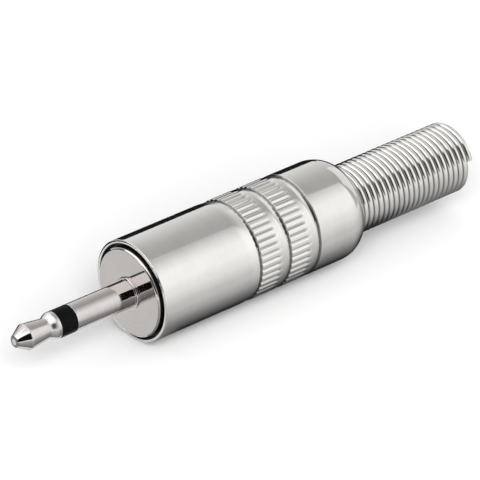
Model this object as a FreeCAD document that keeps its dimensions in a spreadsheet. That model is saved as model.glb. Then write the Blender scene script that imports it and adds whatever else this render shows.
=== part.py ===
import FreeCAD, Part
import math
import os
import Sketcher

# A 2.5 mm mono plug for a cord, as parts that come apart on a bench.
# The plug's axis is X: the tip points to -X and the cord leaves to +X.
# The origin is on the axis at the flange's front face, the stop of the inserted pin.
# All sizes are in millimetres, and each one that can be set by itself is in the sheet.

SIZES = {
    # Pin: what a jack takes
    "pin_diameter": 2.5,
    "sleeve_length": 6.4,
    "ring_length": 1.7,
    "collar_length": 0.5,
    "shoulder_length": 0.4,
    "neck_diameter": 1.88,
    "taper_length": 2.13,
    "cone_diameter": 2.4,
    "cone_length": 1.15,
    "nose_diameter": 1.0,
    "collar_chamfer": 0.08,
    "lip_height": 0.2,
    "lip_length": 0.2,
    # Centre rod of the tip and its insulation
    "rod_diameter": 1.0,
    "rod_head_diameter": 1.7,
    "rod_head_length": 0.3,
    "insulator_wall": 0.3,
    "seat_clearance": 0.02,
    # Flange and threaded spigot of the sleeve contact
    "flange_chamfer": 0.12,
    "thread_length": 4.2,
    "relief_length": 0.5,
    "relief_depth": 0.3,
    "thread_chamfer": 0.3,
    "boss_diameter": 3.2,
    "boss_head_diameter": 3.8,
    "boss_head_length": 0.25,
    # Sheet metal of the two solder lugs
    "lug_thickness": 0.4,
    "lug_clearance": 0.42,
    "lug_plate_inset": 0.2,
    "lug_width": 2.4,
    "lug_length": 6.6,
    "lug_bend_radius": 0.35,
    "lug_eye_diameter": 1.1,
    "lug_eye_place": 3.2,
    "clamp_bore": 3.8,
    "clamp_length": 3.0,
    "clamp_ear_height": 1.3,
    "tip_lug_thickness": 0.35,
    "tip_lug_diameter": 2.8,
    "tip_lug_width": 1.8,
    "tip_lug_rise": 2.0,
    "tip_lug_length": 4.6,
    "tip_bend_radius": 0.2,
    "tip_eye_diameter": 0.9,
    "tip_eye_margin": 0.9,
    "washer_diameter": 4.2,
    "washer_thickness": 0.5,
    # Barrel
    "barrel_diameter": 9.3,
    "barrel_wall": 0.9,
    "barrel_length": 23.25,
    "rim_wall": 0.3,
    "rim_setback": 0.34,
    "rim_round": 0.08,
    "mouth_gap": 0.3,
    "mouth_depth": 0.9,
    "thread_clearance": 0.05,
    "front_section": 10.75,
    "band_pitch": 3.35,
    "groove_width": 0.3,
    "groove_depth": 0.24,
    "bevel_length": 0.4,
    "bevel_depth": 0.09,
    "first_bevel_length": 0.85,
    "flute_length": 2.1,
    "flute_count": 44,
    "flute_width": 0.36,
    "flute_depth": 0.13,
    "dome_radius": 2.63,
    "rear_rim_width": 0.43,
    "shoulder_height": 0.475,
    "rear_bore_length": 2.8,
    "bore_chamfer": 0.25,
    # Insulating tube between the lugs and the barrel
    "tube_wall": 0.35,
    "tube_clearance": 0.08,
    "tube_end_gap": 0.18,
    # Strain relief spring, close wound, its flared front coil caught inside the barrel
    "wire_diameter": 0.57,
    "coil_gap": 0.024,
    "spring_reach": 13.55,
    "bore_clearance": 0.05,
    "flare_clearance": 0.1,
    "flare_turns": 1.0,
    "blend_turns": 0.6,
    "shoulder_gap": 0.05,
    "wire_end_angle": 165.0,
}
# The spring's round wire is drawn with this many sides, in straight steps
WIRE_SIDES = 6
STEPS_PER_TURN = 10

doc = FreeCAD.newDocument("plug")
sheet = doc.addObject("Spreadsheet::Sheet", "sizes")
for row, (alias, number) in enumerate(SIZES.items(), 1):
    sheet.set(f"A{row}", alias)
    sheet.set(f"B{row}", str(number))
    sheet.setAlias(f"B{row}", alias)
doc.recompute()


def size(alias):
    """The number in the sheet's cell of that name."""
    return float(sheet.get(alias))


def value(expression):
    """What an expression over the sheet comes to, as a number."""
    result = sheet.evalExpression(expression)
    return float(getattr(result, "Value", result))


# Places along the axis, as expressions over the sheet
LIP_FRONT = "-sizes.lip_length"
RING_REAR = "-sizes.sleeve_length"
RING_FRONT = f"({RING_REAR} - sizes.ring_length)"
COLLAR_FRONT = f"({RING_FRONT} - sizes.collar_length)"
NECK = f"({COLLAR_FRONT} - sizes.shoulder_length)"
CONE_BASE = f"({NECK} - sizes.taper_length)"
NOSE = f"({CONE_BASE} - sizes.cone_length)"
FLANGE_REAR = "(sizes.rim_setback + sizes.mouth_depth)"
SPIGOT_REAR = f"({FLANGE_REAR} + sizes.thread_length)"
LUG_REAR = f"({SPIGOT_REAR} + sizes.lug_thickness)"
BOSS_REAR = f"({LUG_REAR} + sizes.boss_head_length)"
WASHER_REAR = f"({BOSS_REAR} + sizes.washer_thickness)"
TIP_LUG_REAR = f"({WASHER_REAR} + sizes.tip_lug_thickness)"
ROD_REAR = f"({TIP_LUG_REAR} + sizes.rod_head_length)"
BARREL_REAR = "(sizes.rim_setback + sizes.barrel_length)"
CHAMBER_REAR = f"({BARREL_REAR} - sizes.rear_bore_length)"
PITCH = "(sizes.wire_diameter + sizes.coil_gap)"
FLARED = f"((sizes.flare_turns + sizes.blend_turns) * {PITCH} + sizes.wire_diameter)"
SPRING_FRONT = f"({CHAMBER_REAR} - sizes.shoulder_gap - {FLARED})"

# Radii shared by pieces that fit one another
PIN_R = "(sizes.pin_diameter / 2)"
ROD_R = "(sizes.rod_diameter / 2)"
ROD_HOLE_R = f"({ROD_R} + sizes.seat_clearance)"
INSULATOR_R = f"({ROD_HOLE_R} + sizes.insulator_wall)"
SLEEVE_BORE_R = f"({INSULATOR_R} + sizes.seat_clearance)"
BARREL_R = "(sizes.barrel_diameter / 2)"
MOUTH_R = f"({BARREL_R} - sizes.rim_wall)"
FLANGE_R = f"({MOUTH_R} - sizes.mouth_gap)"
CHAMBER_R = f"({BARREL_R} - sizes.barrel_wall)"
THREAD_R = f"({CHAMBER_R} - sizes.thread_clearance)"
REAR_BORE_R = f"({CHAMBER_R} - sizes.shoulder_height)"
SPRING_R = f"({REAR_BORE_R} - sizes.bore_clearance)"
REAR_RIM_R = f"({REAR_BORE_R} + sizes.rear_rim_width)"
DOME_DROP = f"({BARREL_R} - {REAR_RIM_R})"
DOME_START = f"({BARREL_REAR} - sqrt({DOME_DROP} * (2 * sizes.dome_radius - {DOME_DROP})))"
TUBE_R = f"({CHAMBER_R} - sizes.tube_clearance)"
TUBE_BORE_R = f"({TUBE_R} - sizes.tube_wall)"
LUG_DROP = f"({TUBE_BORE_R} - sizes.lug_clearance)"


def new_body(label):
    body = doc.addObject("PartDesign::Body", label)
    body.Label = label
    return body


def new_sketch(body, name, plane_role, offset=None):
    """An empty sketch on one of the body's own origin planes, moved along its normal by an expression."""
    sketch = body.newObject("Sketcher::SketchObject", name)
    plane = next(item for item in body.Origin.OriginFeatures if item.Role == plane_role)
    sketch.AttachmentSupport = [(plane, "")]
    sketch.MapMode = "FlatFace"
    if offset:
        sketch.setExpression("AttachmentOffset.Base.z", offset)
    return sketch


def place_point(sketch, geometry, point, across, up):
    """Ties one point of a sketch to two expressions, measured from the sketch's origin."""
    for kind, expression in (("DistanceX", across), ("DistanceY", up)):
        constraint = Sketcher.Constraint(kind, -1, 1, geometry, point, value(expression))
        index = sketch.addConstraint(constraint)
        sketch.setExpression(f"Constraints[{index}]", expression)


def outline(sketch, corners, dome=None, radius=None):
    """A closed outline whose corners are pairs of expressions.

    Its lines are straight, but the one that leaves the corner numbered dome is an arc of
    the given radius, which starts along the axis.
    """
    points = [FreeCAD.Vector(value(across), value(up), 0) for across, up in corners]
    count = len(corners)
    ends = []
    for i in range(count):
        start, end = points[i], points[(i + 1) % count]
        if i == dome:
            centre = start - FreeCAD.Vector(0, value(radius), 0)
            ring = Part.Circle(centre, FreeCAD.Vector(0, 0, 1), value(radius))
            fall = math.atan2(end.y - centre.y, end.x - centre.x)
            line = sketch.addGeometry(Part.ArcOfCircle(ring, fall, math.pi / 2))
            ends.append((line, 2, 1))
        else:
            line = sketch.addGeometry(Part.LineSegment(start, end))
            ends.append((line, 1, 2))
    for i in range(count):
        line, first, last = ends[i]
        following, start, _ = ends[(i + 1) % count]
        sketch.addConstraint(Sketcher.Constraint("Coincident", line, last, following, start))
        place_point(sketch, line, first, *corners[i])
    if dome is not None:
        set_radius(sketch, ends[dome][0], radius)


def set_radius(sketch, geometry, radius):
    """Ties a circle's or an arc's radius to an expression."""
    index = sketch.addConstraint(Sketcher.Constraint("Radius", geometry, value(radius)))
    sketch.setExpression(f"Constraints[{index}]", radius)


def circle(sketch, across, up, radius):
    """A circle whose centre and radius are expressions."""
    centre = FreeCAD.Vector(value(across), value(up), 0)
    index = sketch.addGeometry(Part.Circle(centre, FreeCAD.Vector(0, 0, 1), value(radius)))
    place_point(sketch, index, 3, across, up)
    set_radius(sketch, index, radius)


def revolve(body, sketch, name):
    """Turns a half section round the plug's axis."""
    feature = body.newObject("PartDesign::Revolution", name)
    feature.Profile = sketch
    feature.ReferenceAxis = (sketch, ["H_Axis"])
    feature.Angle = 360
    sketch.Visibility = False
    doc.recompute()
    return feature


def pad(body, sketch, name, length, both_ways=False):
    feature = body.newObject("PartDesign::Pad", name)
    feature.Profile = sketch
    feature.setExpression("Length", length)
    feature.Midplane = both_ways
    doc.recompute()
    return feature


def pocket(body, sketch, name, length, both_ways=False):
    """Cuts along the sketch's normal and makes sure that something went."""
    before = body.Shape.Volume
    feature = body.newObject("PartDesign::Pocket", name)
    feature.Profile = sketch
    feature.setExpression("Length", length)
    feature.Midplane = both_ways
    feature.Reversed = not both_ways
    doc.recompute()
    if not body.Shape.Volume < before:
        raise RuntimeError(f"{name} cut nothing")
    return feature


def make_tip_contact():
    """Turned tip with its centre rod, whose rear end is peened over the tip lug."""
    body = new_body("tip_contact")
    sketch = new_sketch(body, "tip_section", "XY_Plane")
    outline(sketch, [
        (NOSE, "0"),
        (NOSE, "sizes.nose_diameter / 2"),
        (CONE_BASE, "sizes.cone_diameter / 2"),
        (NECK, "sizes.neck_diameter / 2"),
        (COLLAR_FRONT, f"{PIN_R} - sizes.collar_chamfer"),
        (f"{COLLAR_FRONT} + sizes.collar_chamfer", PIN_R),
        (RING_FRONT, PIN_R),
        (RING_FRONT, ROD_R),
        (TIP_LUG_REAR, ROD_R),
        (TIP_LUG_REAR, "sizes.rod_head_diameter / 2"),
        (f"{ROD_REAR} - sizes.rod_head_length / 2", "sizes.rod_head_diameter / 2"),
        (ROD_REAR, ROD_R),
        (ROD_REAR, "0"),
    ])
    revolve(body, sketch, "turned_tip")
    return body


def make_tip_insulator():
    """Moulded bush: the black ring on the pin, and the tube round the rod through the sleeve."""
    body = new_body("tip_insulator")
    sketch = new_sketch(body, "bush_section", "XY_Plane")
    outline(sketch, [
        (RING_FRONT, ROD_HOLE_R),
        (RING_FRONT, PIN_R),
        (RING_REAR, PIN_R),
        (RING_REAR, INSULATOR_R),
        (BOSS_REAR, INSULATOR_R),
        (BOSS_REAR, ROD_HOLE_R),
    ])
    revolve(body, sketch, "turned_bush")
    return body


def make_sleeve_contact():
    """Turned pin sleeve, flange and threaded spigot, with a boss riveted over the sleeve lug."""
    body = new_body("sleeve_contact")
    sketch = new_sketch(body, "sleeve_section", "XY_Plane")
    relief_r = f"{THREAD_R} - sizes.relief_depth"
    outline(sketch, [
        (RING_REAR, SLEEVE_BORE_R),
        (RING_REAR, PIN_R),
        (LIP_FRONT, PIN_R),
        (LIP_FRONT, f"{PIN_R} + sizes.lip_height"),
        ("0", f"{PIN_R} + sizes.lip_height"),
        ("0", f"{FLANGE_R} - sizes.flange_chamfer"),
        ("sizes.flange_chamfer", FLANGE_R),
        (FLANGE_REAR, FLANGE_R),
        (FLANGE_REAR, relief_r),
        (f"{FLANGE_REAR} + sizes.relief_length", relief_r),
        (f"{FLANGE_REAR} + sizes.relief_length + sizes.relief_depth", THREAD_R),
        (f"{SPIGOT_REAR} - sizes.thread_chamfer", THREAD_R),
        (SPIGOT_REAR, f"{THREAD_R} - sizes.thread_chamfer"),
        (SPIGOT_REAR, "sizes.boss_diameter / 2"),
        (LUG_REAR, "sizes.boss_diameter / 2"),
        (LUG_REAR, "sizes.boss_head_diameter / 2"),
        (BOSS_REAR, "sizes.boss_diameter / 2"),
        (BOSS_REAR, SLEEVE_BORE_R),
    ])
    revolve(body, sketch, "turned_sleeve")
    return body


def make_insulating_washer():
    """Insulating washer between the riveted boss and the tip lug."""
    body = new_body("insulating_washer")
    sketch = new_sketch(body, "washer_section", "XY_Plane")
    outline(sketch, [
        (BOSS_REAR, ROD_HOLE_R),
        (BOSS_REAR, "sizes.washer_diameter / 2"),
        (WASHER_REAR, "sizes.washer_diameter / 2"),
        (WASHER_REAR, ROD_HOLE_R),
    ])
    revolve(body, sketch, "turned_washer")
    return body


def bend_edges(shape, x, z):
    """The names of the straight edges across the strip that lie at x and z."""
    names = []
    for i, edge in enumerate(shape.Edges, 1):
        ends = [vertex.Point for vertex in edge.Vertexes]
        if len(ends) < 2 or abs(ends[0].y - ends[1].y) < 1e-3:
            continue
        if all(abs(end.x - x) < 1e-4 and abs(end.z - z) < 1e-4 for end in ends):
            names.append(f"Edge{i}")
    return names


def round_bend(body, name, x, z, radius):
    """Rounds a bend's edge, given where it lies."""
    base = body.Tip
    feature = body.newObject("PartDesign::Fillet", name)
    feature.Base = (base, bend_edges(base.Shape, value(x), value(z)))
    feature.setExpression("Radius", radius)
    doc.recompute()


def make_sleeve_lug():
    """Stamped lug: a plate under the riveted boss, a strip with a solder eye and a cord clamp."""
    body = new_body("sleeve_lug")
    strip_top = f"-({LUG_DROP} - sizes.lug_thickness)"
    strip_end = f"({SPIGOT_REAR} + sizes.lug_length)"
    hole_r = "sizes.boss_diameter / 2 + sizes.seat_clearance"

    plate = new_sketch(body, "plate_outline", "YZ_Plane", SPIGOT_REAR)
    circle(plate, "0", "0", f"{LUG_DROP} - sizes.lug_plate_inset")
    pad(body, plate, "plate", "sizes.lug_thickness")

    side = new_sketch(body, "strip_side", "XZ_Plane")
    outline(side, [
        (SPIGOT_REAR, "-sizes.boss_head_diameter / 2"),
        (SPIGOT_REAR, f"-{LUG_DROP}"),
        (strip_end, f"-{LUG_DROP}"),
        (strip_end, strip_top),
        (LUG_REAR, strip_top),
        (LUG_REAR, "-sizes.boss_head_diameter / 2"),
    ])
    pad(body, side, "strip", "sizes.lug_width", both_ways=True)

    trough = new_sketch(body, "clamp_section", "YZ_Plane", strip_end)
    clamp_outline(trough)
    pad(body, trough, "clamp", "sizes.clamp_length")

    hole = new_sketch(body, "boss_hole", "YZ_Plane", SPIGOT_REAR)
    circle(hole, "0", "0", hole_r)
    pocket(body, hole, "boss_hole_cut", "sizes.lug_thickness")

    eye = new_sketch(body, "solder_eye", "XY_Plane", f"-{LUG_DROP}")
    circle(eye, f"{LUG_REAR} + sizes.lug_eye_place", "0", "sizes.lug_eye_diameter / 2")
    pocket(body, eye, "solder_eye_cut", "sizes.lug_thickness")

    round_bend(body, "bend_inside", LUG_REAR, strip_top, "sizes.lug_bend_radius")
    outer = "sizes.lug_bend_radius + sizes.lug_thickness"
    round_bend(body, "bend_outside", SPIGOT_REAR, f"-{LUG_DROP}", outer)
    return body


def clamp_outline(sketch):
    """A trough open at the top: half a ring on the strip's level, with two straight ears."""
    inner = "(sizes.clamp_bore / 2)"
    outer = f"({inner} + sizes.lug_thickness)"
    level = f"({inner} - ({LUG_DROP} - sizes.lug_thickness))"
    top = f"({level} + sizes.clamp_ear_height)"
    centre = FreeCAD.Vector(0, value(level), 0)
    normal = FreeCAD.Vector(0, 0, 1)
    arcs = []
    for radius in (inner, outer):
        ring = Part.Circle(centre, normal, value(radius))
        arcs.append(sketch.addGeometry(Part.ArcOfCircle(ring, math.pi, 2 * math.pi)))
        place_point(sketch, arcs[-1], 3, "0", level)
        place_point(sketch, arcs[-1], 1, f"-{radius}", level)
        constraint = Sketcher.Constraint("DistanceY", -1, 1, arcs[-1], 2, value(level))
        index = sketch.addConstraint(constraint)
        sketch.setExpression(f"Constraints[{index}]", level)
    for side, point in ((-1, 1), (1, 2)):
        near = FreeCAD.Vector(side * value(inner), value(level), 0)
        far = FreeCAD.Vector(side * value(outer), value(level), 0)
        rise = FreeCAD.Vector(0, value(top) - value(level), 0)
        corners = [near, near + rise, far + rise, far]
        lines = [
            sketch.addGeometry(Part.LineSegment(corners[i], corners[i + 1])) for i in range(3)
        ]
        sketch.addConstraint(Sketcher.Constraint("Coincident", lines[0], 1, arcs[0], point))
        sketch.addConstraint(Sketcher.Constraint("Coincident", lines[0], 2, lines[1], 1))
        sketch.addConstraint(Sketcher.Constraint("Coincident", lines[1], 2, lines[2], 1))
        sketch.addConstraint(Sketcher.Constraint("Coincident", lines[2], 2, arcs[1], point))
        place_point(sketch, lines[1], 1, f"{side} * {inner}", top)
        place_point(sketch, lines[1], 2, f"{side} * {outer}", top)


def make_tip_lug():
    """Stamped lug under the peened rod: a ring and a strip bent back, with a solder eye."""
    body = new_body("tip_lug")
    strip_end = f"({WASHER_REAR} + sizes.tip_lug_length)"
    strip_bottom = "(sizes.tip_lug_rise - sizes.tip_lug_thickness)"

    ring = new_sketch(body, "ring_outline", "YZ_Plane", WASHER_REAR)
    circle(ring, "0", "0", "sizes.tip_lug_diameter / 2")
    pad(body, ring, "ring_plate", "sizes.tip_lug_thickness")

    side = new_sketch(body, "strip_side", "XZ_Plane")
    outline(side, [
        (WASHER_REAR, "sizes.rod_head_diameter / 2"),
        (WASHER_REAR, "sizes.tip_lug_rise"),
        (strip_end, "sizes.tip_lug_rise"),
        (strip_end, strip_bottom),
        (TIP_LUG_REAR, strip_bottom),
        (TIP_LUG_REAR, "sizes.rod_head_diameter / 2"),
    ])
    pad(body, side, "strip", "sizes.tip_lug_width", both_ways=True)

    hole = new_sketch(body, "rod_hole", "YZ_Plane", WASHER_REAR)
    circle(hole, "0", "0", ROD_HOLE_R)
    pocket(body, hole, "rod_hole_cut", "sizes.tip_lug_thickness")

    eye = new_sketch(body, "solder_eye", "XY_Plane", strip_bottom)
    circle(eye, f"{strip_end} - sizes.tip_eye_margin", "0", "sizes.tip_eye_diameter / 2")
    pocket(body, eye, "solder_eye_cut", "sizes.tip_lug_thickness")

    round_bend(body, "bend_inside", TIP_LUG_REAR, strip_bottom, "sizes.tip_bend_radius")
    outer = "sizes.tip_bend_radius + sizes.tip_lug_thickness"
    round_bend(body, "bend_outside", WASHER_REAR, "sizes.tip_lug_rise", outer)
    return body


def make_insulating_tube():
    """Plain tube that keeps the lugs off the barrel."""
    body = new_body("insulating_tube")
    sketch = new_sketch(body, "tube_section", "XY_Plane")
    front = f"{SPIGOT_REAR} + sizes.tube_end_gap"
    rear = f"{SPRING_FRONT} - sizes.tube_end_gap"
    outline(sketch, [
        (front, TUBE_BORE_R),
        (front, TUBE_R),
        (rear, TUBE_R),
        (rear, TUBE_BORE_R),
    ])
    revolve(body, sketch, "turned_tube")
    return body


def groove_place(index):
    """Where the upright rear wall of a groove lies along the barrel; the first is 0."""
    return f"(sizes.rim_setback + sizes.front_section + {index} * sizes.band_pitch)"


def groove_corners(index):
    """The outer corners of one groove: an easy bevel, the slope down and the upright wall."""
    place = groove_place(index)
    bevel = "sizes.first_bevel_length" if index == 0 else "sizes.bevel_length"
    return [
        (f"{place} - sizes.groove_width - {bevel}", BARREL_R),
        (f"{place} - sizes.groove_width", f"{BARREL_R} - sizes.bevel_depth"),
        (place, f"{BARREL_R} - sizes.groove_depth"),
        (place, BARREL_R),
    ]


def make_barrel():
    """Turned barrel: stepped bore, two fluted grip bands between grooves, domed rear end."""
    body = new_body("barrel")
    sketch = new_sketch(body, "barrel_section", "XY_Plane")
    corners = [
        ("sizes.rim_setback", MOUTH_R),
        ("sizes.rim_setback", f"{BARREL_R} - sizes.rim_round"),
        ("sizes.rim_setback + sizes.rim_round", BARREL_R),
    ]
    for index in range(3):
        corners += groove_corners(index)
    corners += [
        (DOME_START, BARREL_R),
        (BARREL_REAR, REAR_RIM_R),
        (BARREL_REAR, REAR_BORE_R),
        (f"{CHAMBER_REAR} + sizes.bore_chamfer", REAR_BORE_R),
        (CHAMBER_REAR, f"{REAR_BORE_R} + sizes.bore_chamfer"),
        (CHAMBER_REAR, CHAMBER_R),
        (FLANGE_REAR, CHAMBER_R),
        (FLANGE_REAR, MOUTH_R),
    ]
    dome = corners.index((DOME_START, BARREL_R))
    outline(sketch, corners, dome, "sizes.dome_radius")
    revolve(body, sketch, "turned_barrel")
    for index in range(2):
        cut_flutes(body, index)
    return body


def cut_flutes(body, index):
    """Cuts the axial flutes of one grip band, open at the front into the groove ahead of it."""
    sketch = new_sketch(body, f"flute_{index}", "YZ_Plane", groove_place(index))
    outline(sketch, [
        ("0", f"{BARREL_R} - sizes.flute_depth"),
        ("sizes.flute_width", f"{BARREL_R} + sizes.flute_depth"),
        ("-sizes.flute_width", f"{BARREL_R} + sizes.flute_depth"),
    ])
    flute = pocket(body, sketch, f"flute_cut_{index}", "sizes.flute_length")
    before = body.Shape.Volume
    flutes = body.newObject("PartDesign::PolarPattern", f"flutes_{index}")
    flutes.Originals = [flute]
    flutes.Axis = (sketch, ["N_Axis"])
    flutes.Angle = 360
    flutes.setExpression("Occurrences", "sizes.flute_count")
    body.Tip = flutes
    doc.recompute()
    if not body.Shape.Volume < before:
        raise RuntimeError("the flutes' pattern cut nothing")


def make_spring():
    """One wire wound right-handed and close, with a wide front coil that can't leave the barrel.

    The wire's section is a polygon, and each turn is a run of straight steps.
    """
    part = doc.addObject("Part::Feature", "strain_relief_spring")
    part.Label = "strain_relief_spring"
    wire_r = size("wire_diameter") / 2
    pitch = value(PITCH)
    coil_r = value(SPRING_R) - wire_r
    flare_r = value(CHAMBER_R) - size("flare_clearance") - wire_r
    first = value(SPRING_FRONT) + wire_r
    last = value(BARREL_REAR) + size("spring_reach") - wire_r
    turns = (last - first) / pitch
    steps = math.ceil(turns * STEPS_PER_TURN)
    sections = []
    for step in range(steps + 1):
        turn = turns * step / steps
        blend = min(max((turn - size("flare_turns")) / size("blend_turns"), 0), 1)
        radius = coil_r + (flare_r - coil_r) * (1 + math.cos(math.pi * blend)) / 2
        angle = math.radians(size("wire_end_angle") - 360 * (turns - turn))
        corners = []
        for side in range(WIRE_SIDES):
            lean = 2 * math.pi * side / WIRE_SIDES
            reach = radius + wire_r * math.cos(lean)
            x = first + pitch * turn + wire_r * math.sin(lean)
            corners.append(FreeCAD.Vector(x, reach * math.cos(angle), reach * math.sin(angle)))
        sections.append(Part.makePolygon(corners + corners[:1]))
    part.Shape = Part.makeLoft(sections, True, True)
    part.Placement = FreeCAD.Placement()
    return part


parts = [
    make_tip_contact(),
    make_tip_insulator(),
    make_sleeve_contact(),
    make_insulating_washer(),
    make_sleeve_lug(),
    make_tip_lug(),
    make_insulating_tube(),
    make_barrel(),
    make_spring(),
]
doc.recompute()

for item in doc.Objects:
    if "Invalid" in item.State or "Error" in item.State:
        raise RuntimeError(f"{item.Label} failed: {item.State}")
for part in parts:
    if part.Shape.isNull() or not part.Shape.isValid() or len(part.Shape.Solids) != 1:
        raise RuntimeError(f"{part.Label} isn't one valid solid")

os.makedirs("parts", exist_ok=True)
for part in parts:
    part.Shape.exportStep(f"parts/{part.Label}.step")
    box = part.Shape.BoundBox
    print(f"{part.Label}: {part.Shape.Volume:.2f} mm3, x {box.XMin:.2f} to {box.XMax:.2f}")
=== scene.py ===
# %% [markdown]
# # A mini-jack plug, dressed for its picture
#
# The plug comes packed as nine plain solids. This lesson loads them as a fixed frame, models the
# pieces that the eye sees again with finer edges, gives every piece the finish that the real one
# has, and sets up a floor, soft light and the camera.
#
# All pieces lie along X: the tip points to -X and the cord's end to +X. The origin is on the axis
# at the front face of the flange, and Z is up.

import math

import bmesh
import bpy
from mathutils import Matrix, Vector


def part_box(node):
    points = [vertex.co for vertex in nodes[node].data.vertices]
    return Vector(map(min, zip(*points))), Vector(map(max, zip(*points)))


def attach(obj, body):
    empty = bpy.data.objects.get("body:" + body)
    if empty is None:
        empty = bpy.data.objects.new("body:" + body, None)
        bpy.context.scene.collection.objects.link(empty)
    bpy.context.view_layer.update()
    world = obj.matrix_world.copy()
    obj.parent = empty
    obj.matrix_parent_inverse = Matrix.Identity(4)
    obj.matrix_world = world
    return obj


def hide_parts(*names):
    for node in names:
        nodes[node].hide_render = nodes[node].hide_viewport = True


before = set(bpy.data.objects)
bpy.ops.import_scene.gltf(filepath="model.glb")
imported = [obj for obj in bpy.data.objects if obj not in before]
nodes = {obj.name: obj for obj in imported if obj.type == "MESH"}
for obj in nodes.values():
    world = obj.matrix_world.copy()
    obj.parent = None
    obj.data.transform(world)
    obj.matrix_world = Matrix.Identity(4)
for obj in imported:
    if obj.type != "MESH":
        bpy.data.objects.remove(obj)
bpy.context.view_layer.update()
bpy.ops.object.select_all(action="DESELECT")
print("solids:", ", ".join(sorted(nodes)))

# %% [markdown]
# ## Working in millimetres
#
# The plug's edges are rounded by a few hundredths of a millimetre. Blender merges points that lie
# so close when they are given in metres, so each new piece is modelled a thousand times its size,
# with one unit as a millimetre, and scaled down when it is finished. The scale is applied, so a
# finished piece sits at the origin, unturned and unscaled, as the solids do.
#
# Each point also stores how sharply the surface bends there, for the finish to find its edges.
# Cycles can work that out by itself, as Pointiness, but on a piece this small it takes points that
# lie a third of a millimetre apart for one, and draws false lines.
#
# A Weighted Normal modifier comes last: beside a narrow round the wide flat faces keep their own
# direction, so the flange is a flat mirror up to its edge and only the round bends the light.

# %% Sizes, and how to pick a piece
MILLIMETRE = 0.001
SMOOTH_BELOW = math.radians(32)


def pick(piece):
    """Makes a piece the active one and the only one that is selected."""
    bpy.ops.object.select_all(action="DESELECT")
    piece.select_set(True)
    bpy.context.view_layer.objects.active = piece


# %% The last step of every new piece
def mark_bends(piece):
    """Stores at each point how far the surface bends there: above 0 outwards, below 0 inwards."""
    mesh = bmesh.new()
    mesh.from_mesh(piece.data)
    mesh.normal_update()
    bends = []
    for point in mesh.verts:
        ways = [(edge.other_vert(point).co - point.co).normalized() for edge in point.link_edges]
        bends.append(-sum(way.dot(point.normal) for way in ways) / len(ways))
    mesh.free()
    layer = piece.data.attributes.new("bend", "FLOAT", "POINT")
    layer.data.foreach_set("value", bends)
    print(f"{piece.name}: bends from {min(bends):.2f} to {max(bends):.2f}")


def finish_piece(piece, body, node):
    """Brings a piece down to metres, smooths its soft edges and puts it in its solid's place."""
    mark_bends(piece)
    piece.scale = (MILLIMETRE, MILLIMETRE, MILLIMETRE)
    pick(piece)
    bpy.ops.object.transform_apply(location=True, rotation=True, scale=True)
    bpy.ops.object.shade_smooth_by_angle(angle=SMOOTH_BELOW)
    weighting = piece.modifiers.new("flat_faces", "WEIGHTED_NORMAL")
    weighting.keep_sharp = True
    bpy.ops.object.modifier_apply(modifier=weighting.name)
    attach(piece, body)
    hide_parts(node)
    count = sum(len(face.vertices) - 2 for face in piece.data.polygons)
    low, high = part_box(node)
    length = (high - low).x / MILLIMETRE
    print(f"{piece.name}: {count} triangles, in place of {node}, {length:.2f} mm long")


# %% [markdown]
# ## Turning on a lathe
#
# Tip, ring, sleeve and barrel are all turned. In Blender the same shape grows from one ring: a
# circle is added at the first place of the outline, pulled out along the axis to the next place
# and scaled to the radius there, again and again. Spin would do it in one step, but a ring that
# is pulled out keeps its points in straight rows along the axis, and the flutes need those rows.
#
# No edge that shows is sharp. Each corner of an outline is given with the length that its rounding
# takes off, because those narrow rounds catch the light and draw the edges in the picture. A
# corner without a cut is a plain ring. Such rings stand beside the rounds on long smooth runs, so
# that what the finish reads at an edge, such as its wear, stays at that edge.

# %% Outline
ROUND_STEPS = 4


def rounded(corners):
    """The places of an outline given as corners (x, radius, cut), each cut rounded off."""
    places = []
    count = len(corners)
    for index, (x, radius, cut) in enumerate(corners):
        corner = Vector((x, radius))
        if not cut:
            places.append(corner)
            continue
        before = Vector(corners[index - 1][:2]) - corner
        after = Vector(corners[(index + 1) % count][:2]) - corner
        start = corner + before.normalized() * cut
        end = corner + after.normalized() * cut
        for step in range(ROUND_STEPS + 1):
            share = step / ROUND_STEPS
            near = start.lerp(corner, share)
            far = corner.lerp(end, share)
            places.append(near.lerp(far, share))
    return places


# %% Helpers for edit mode
SAME_PLACE = 1e-4


def choose(piece, test):
    """Selects the points of a piece in edit mode whose place passes the test, and counts them."""
    mesh = bmesh.from_edit_mesh(piece.data)
    picked = 0
    for point in mesh.verts:
        wanted = bool(test(point.co))
        point.select_set(wanted)
        picked += wanted
    mesh.select_flush_mode()
    bmesh.update_edit_mesh(piece.data)
    return picked


def weld():
    """Merges points that share a place, turns all faces outwards and leaves edit mode."""
    bpy.ops.mesh.select_all(action="SELECT")
    bpy.ops.mesh.remove_doubles(threshold=SAME_PLACE)
    bpy.ops.mesh.normals_make_consistent(inside=False)
    bpy.ops.object.mode_set(mode="OBJECT")


# %% Lathe
def turn(name, places, sides, hollow):
    """Turns a piece from its outline; a hollow one's outline closes on itself."""
    x, radius = places[0]
    bpy.ops.mesh.primitive_circle_add(
        vertices=sides, radius=radius, location=(x, 0, 0), rotation=(0, math.pi / 2, 0)
    )
    piece = bpy.context.object
    piece.name = name
    piece.data.name = name
    bpy.ops.object.transform_apply(location=True, rotation=True, scale=True)
    bpy.ops.object.mode_set(mode="EDIT")
    bpy.ops.mesh.select_mode(type="VERT")
    bpy.ops.mesh.select_all(action="SELECT")
    outline = list(places[1:])
    if hollow:
        outline.append(places[0])
    else:
        bpy.ops.mesh.edge_face_add()
    for next_x, next_radius in outline:
        bpy.ops.mesh.extrude_region_move(
            MESH_OT_extrude_region={"use_dissolve_ortho_edges": False},
            TRANSFORM_OT_translate={"value": (next_x - x, 0, 0)},
        )
        grow = next_radius / radius
        bpy.ops.transform.resize(value=(1, grow, grow), center_override=(next_x, 0, 0))
        x, radius = next_x, next_radius
    weld()
    return piece


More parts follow.
